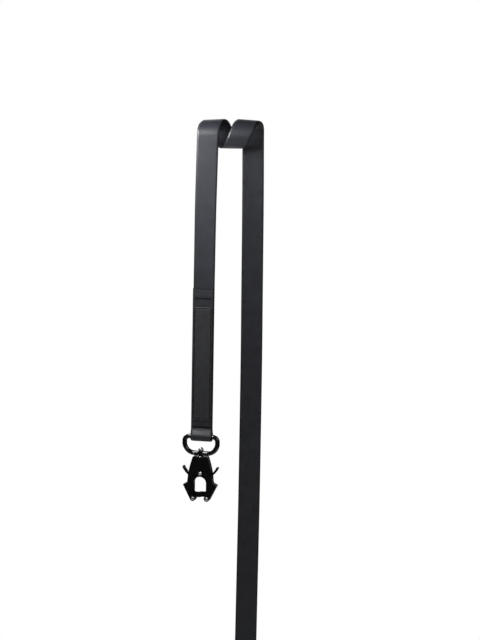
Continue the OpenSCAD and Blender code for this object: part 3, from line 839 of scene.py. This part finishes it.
def gloss_look():
    """Glossy black enamel on the ring."""
    look = Look("gloss_enamel", GLOSS_BLACK, 0.13)
    look.put("Coat Weight", 0.5)
    look.put("Coat Roughness", 0.05)
    look.colour_from(look.noise(look.solid, 200.0), *shades(GLOSS_BLACK, 0.2))
    look.rough_from(look.noise(look.solid, 500.0, 4.0), 0.04)
    look.bump_from(look.noise(look.solid, 240.0, 1.0), 0.06, 0.05)
    return look.mat


def steel_look(name, rough, swirl):
    """Turned bright steel with fine tool lines."""
    look = Look(name, STEEL, rough, 1.0)
    look.colour_from(look.noise(look.solid, 350.0), *shades(STEEL, 0.07))
    look.rough_from(look.noise(look.solid, 800.0, 4.0), 0.06)
    lines = look.noise(look.stretched(look.solid, (0.12, 0.12, 1.0)), swirl, 2.0)
    look.bump_from(lines, 0.12, 0.02)
    return look.mat


strap_mat = strap_look()
edge_shade_mat = edge_shade_look()
patch_mat = patch_look()
thread_mat = thread_look()
shell_mat = cast_look("cast_black", SHELL_BLACK, 0.46, 0.14)
# Eased edges of shells and jaws: a slightly lighter black as wear. On the jaw pins and centre rivet it is
# painted shade: their rims and eased edges turn dark round the bright head.
edge_wear_and_rim_shade_mat = cast_look("cast_black_edge_wear_and_rim_shade", EDGE_SHADE_AND_WEAR_BLACK, 0.4, 0.2)
lever_mat = cast_look("lever_black", GLOSS_BLACK, 0.4, 0.15)
ring_mat = gloss_look()
steel_mat = steel_look("bright_steel", 0.28, 1800.0)
spring_mat = steel_look("spring_wire", 0.26, 3000.0)


# Camera: the photographed view, from a little above and a long way off
scene = bpy.context.scene
scene.view_settings.view_transform = "Standard"
CAM_UP = 10.0
CAM_ROLL = 0.9
CAM_AWAY = 7000.0
MM_PER_PIXEL = 1.153
SENSOR = 36.0
PHOTO_H = 640.0
AIM = Vector((14.12, 0, -215.94))
ahead = Vector((0, cos_d(CAM_UP), -sin_d(CAM_UP)))
level = Vector((1, 0, 0))
upward = level.cross(ahead)
cam_right = cos_d(CAM_ROLL) * level + sin_d(CAM_ROLL) * upward
cam_up = -sin_d(CAM_ROLL) * level + cos_d(CAM_ROLL) * upward
camera = bpy.data.objects.new("camera", bpy.data.cameras.new("camera"))
camera.data.sensor_fit = "VERTICAL"
camera.data.sensor_height = SENSOR
camera.data.lens = CAM_AWAY / MM_PER_PIXEL * SENSOR / PHOTO_H
camera.data.clip_end = 100
cam_pose = Matrix((cam_right, cam_up, -ahead)).transposed().to_4x4()
cam_pose.translation = (AIM - CAM_AWAY * ahead) * MM
camera.matrix_world = cam_pose
scene.collection.objects.link(camera)
scene.camera = camera


def settle(piece, body, slot, mats, *nodes):
    """Gives a piece its looks and the body it moves with, and hides the solids it stands for."""
    for mat in mats:
        piece.data.materials.append(mat)
    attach(piece, body)
    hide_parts(*nodes)


# The strap and its sewn ends
STRAP_LOOKS = [strap_mat, edge_shade_mat]
STRAP_NODES = ("strap_clip_strand", "strap_rail_winding", "strap_handle_strand")
strap = make_strap()
strap_piece = strap.piece("strap")
settle(strap_piece, "strap", "strap", STRAP_LOOKS, *STRAP_NODES)
[p * MM for p in strap.path]

settle(make_fold().piece("sewn_fold"), "strap", "strap", STRAP_LOOKS, "clip_end_fold")
settle(make_hand_loop().piece("hand_grip"), "strap", "strap", STRAP_LOOKS, "hand_loop")
settle(make_patch(), "strap", "patch", [patch_mat, edge_shade_mat], "label_patch")
settle(make_patch_threads().piece("patch_seam"), "strap", "thread", [thread_mat], "patch_stitching")

fold_threads = Threads(CLIP_END)
for row in (LOWER_TACK, UPPER_TACK):
    fold_threads.bar_tack(-FOLD_FACE, row, -1)
    fold_threads.bar_tack(FOLD_FACE, row, 1)
settle(fold_threads.piece("fold_seams"), "strap", "thread", [thread_mat], "clip_end_tacks")

hand_threads = Threads(HAND_END)
for row in (HAND_LOW_TACK, HAND_HIGH_TACK):
    hand_threads.bar_tack(-2 * LAYER_OFF - STRAP_T / 2, row, -1)
    hand_threads.bar_tack(STRAP_T / 2, row, 1)
settle(hand_threads.piece("hand_seams"), "strap", "thread", [thread_mat], "hand_loop_tacks")


# Metal pieces: the solids with eased edges and smooth rounds. Corners of more than CRISP degrees are eased,
# faces within FLAT_WITHIN degrees join into one; RIM_TURN is the cosine that parts a rivet's face and its
# rim, which takes painted shade
CRISP = 30.0
FLAT_WITHIN = 0.4
RIM_TURN = 0.83
PIN_AXIS = Vector((sin_d(CLIP_YAW), cos_d(CLIP_YAW), 0))


def dress(node, slot, mats, ease, weld=0.002, clamped=False, along=None):
    """Copy of a solid whose corners are eased; the eased edges take the second look where there is one.

    Where an axis is given along, so do the faces that are turned well away from it, such as a rivet's rim; on
    the rivets that dark second look is painted shade.
    """
    bm = bmesh.new()
    bm.from_mesh(frame["nodes"][node].data)
    bmesh.ops.remove_doubles(bm, verts=bm.verts, dist=weld * MM)
    bmesh.ops.dissolve_limit(bm, angle_limit=math.radians(FLAT_WITHIN), verts=bm.verts, edges=bm.edges)
    bmesh.ops.recalc_face_normals(bm, faces=bm.faces)
    for face in bm.faces:
        face.smooth = True
        # On the rivets, the rim faces take the second look: painted shade, a dark ring round the head.
        turned = along and abs(face.normal.dot(along)) < RIM_TURN
        face.material_index = 1 if turned else 0
    mesh = bpy.data.meshes.new(node + "_eased")
    bm.to_mesh(mesh)
    bm.free()
    piece = bpy.data.objects.new(node + "_eased", mesh)
    scene.collection.objects.link(piece)
    settle(piece, frame["nodes"][node]["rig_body"], slot, mats, node)
    eased_edge = piece.modifiers.new("eased_edge", "BEVEL")
    eased_edge.width = ease * MM
    eased_edge.segments = 2
    eased_edge.limit_method = "ANGLE"
    eased_edge.angle_limit = math.radians(CRISP)
    eased_edge.use_clamp_overlap = clamped
    eased_edge.harden_normals = True
    eased_edge.material = len(mats) - 1
    even = piece.modifiers.new("even_faces", "WEIGHTED_NORMAL")
    even.weight = 100
    even.keep_sharp = True


for node in ("front_shell", "back_shell"):
    dress(node, "shell", [shell_mat, edge_wear_and_rim_shade_mat], 0.22)
for side in ("left", "right"):
    dress(side + "_jaw", "shell", [shell_mat, edge_wear_and_rim_shade_mat], 0.18)
    dress(side + "_lever", "lever", [lever_mat], 0.14, weld=0.13, clamped=True)
    dress(side + "_jaw_pin", "steel", [steel_mat, edge_wear_and_rim_shade_mat], 0.06, along=PIN_AXIS)
dress("centre_rivet", "steel", [steel_mat, edge_wear_and_rim_shade_mat], 0.06, along=PIN_AXIS)
dress("swivel_collar", "steel", [steel_mat], 0.2)
dress("swivel_post", "steel", [steel_mat], 0.1)
dress("swivel_ring", "ring", [ring_mat], 0.25)

KEPT_LOOKS = {
    "centre_spacer": steel_mat, "left_jaw_spring": spring_mat, "right_jaw_spring": spring_mat,
    "left_lever_spring": spring_mat, "right_lever_spring": spring_mat,
}
for node, mat in KEPT_LOOKS.items():
    for place in frame["nodes"][node].material_slots:
        place.material = mat


# Stage: a pale floor that fades into a white studio; lengths in metres
FLOOR_Z = -0.99
FLOOR_R = 1.3
FLOOR_GREY = (0.82, 0.82, 0.82)
FADE_FROM = 0.35
FADE_TO = 1.2
NEAR_WHITE = 0.55
REAR_FROM = 0.1
REAR_TO = 0.9


def floor_look():
    """Pale floor, white to the eye far out, and in mirrors where it lies behind the object."""
    look = Look("pale_floor", FLOOR_GREY, 0.7, specular=0.2)
    look.colour_from(look.noise(look.solid, 6.0), (0.81, 0.81, 0.81), (0.83, 0.83, 0.83))
    white = look.add("ShaderNodeEmission")
    far = look.add("ShaderNodeVectorMath", {"Vector": look.solid}, operation="LENGTH")
    fade = look.ramp(far.outputs["Value"], FADE_FROM, FADE_TO, NEAR_WHITE, 1.0)
    place = look.add("ShaderNodeSeparateXYZ", {"Vector": look.solid})
    rear = look.ramp(place.outputs["Y"], REAR_FROM, REAR_TO, 0.0, 1.0)
    share = look.maths("MULTIPLY", look.seen_rays(rear), fade)
    look.show(share, look.shader.outputs["BSDF"], white.outputs["Emission"], "Material Output")
    return look.mat


rim = [(FLOOR_R * cos_d(a), FLOOR_R * sin_d(a), 0) for a in range(0, 360, 5)]
wedges = [(0, 1 + i, 1 + (i + 1) % len(rim)) for i in range(len(rim))]
floor_mesh = bpy.data.meshes.new("floor")
floor_mesh.from_pydata([(0, 0, 0), *rim], [], wedges)
floor = bpy.data.objects.new("floor", floor_mesh)
floor.location = (0, 0, FLOOR_Z)
floor_mesh.materials.append(floor_look())
scene.collection.objects.link(floor)

# Studio: white to the eye, and in mirrors where it lies behind the object; the side the object faces is dim
BEHIND_FROM = 0.80
BEHIND_TO = 0.99
ROOM_LIGHT = 0.05
world = bpy.data.worlds.new("studio")
scene.world = world
world.use_nodes = True
studio = Tree(world.node_tree)
white = studio.nodes["Background"]
white.inputs["Color"].default_value = (1, 1, 1, 1)
white.inputs["Strength"].default_value = 1.0
room = studio.add("ShaderNodeBackground", Color=(1, 1, 1, 1), Strength=ROOM_LIGHT)
direction = studio.add("ShaderNodeTexCoord").outputs["Generated"]
rearward = studio.add("ShaderNodeSeparateXYZ", {"Vector": direction}).outputs["Y"]
behind = studio.ramp(rearward, BEHIND_FROM, BEHIND_TO, 0.0, 1.0, interpolation_type="SMOOTHSTEP")
studio.show(studio.seen_rays(behind), room.outputs["Background"], white.outputs["Background"], "World Output")


def lamp(name, at, aim, size, power):
    """Flat lamp with its place, aim and size in metres and its power in watts."""
    light = bpy.data.lights.new(name, "AREA")
    light.shape = "RECTANGLE"
    light.size, light.size_y = size
    light.energy = power
    obj = bpy.data.objects.new(name, light)
    obj.location = at
    obj.rotation_euler = (Vector(aim) - Vector(at)).to_track_quat("-Z", "Y").to_euler()
    scene.collection.objects.link(obj)


lamp("key", at=(-0.16, -0.11, 0.04), aim=(-0.026, -0.017, -0.06), size=(0.14, 0.1), power=1.2)
lamp("front", at=(-0.45, -0.90, 0.32), aim=(-0.03, -0.02, -0.35), size=(0.15, 0.15), power=3.3)
lamp("fill", at=(0.90, -1.20, 0.45), aim=(0, 0, -0.30), size=(0.9, 0.9), power=5.4)
lamp("back", at=(-0.8, 1.8, 0.6), aim=(0, 0, -0.5), size=(1.0, 1.0), power=24)
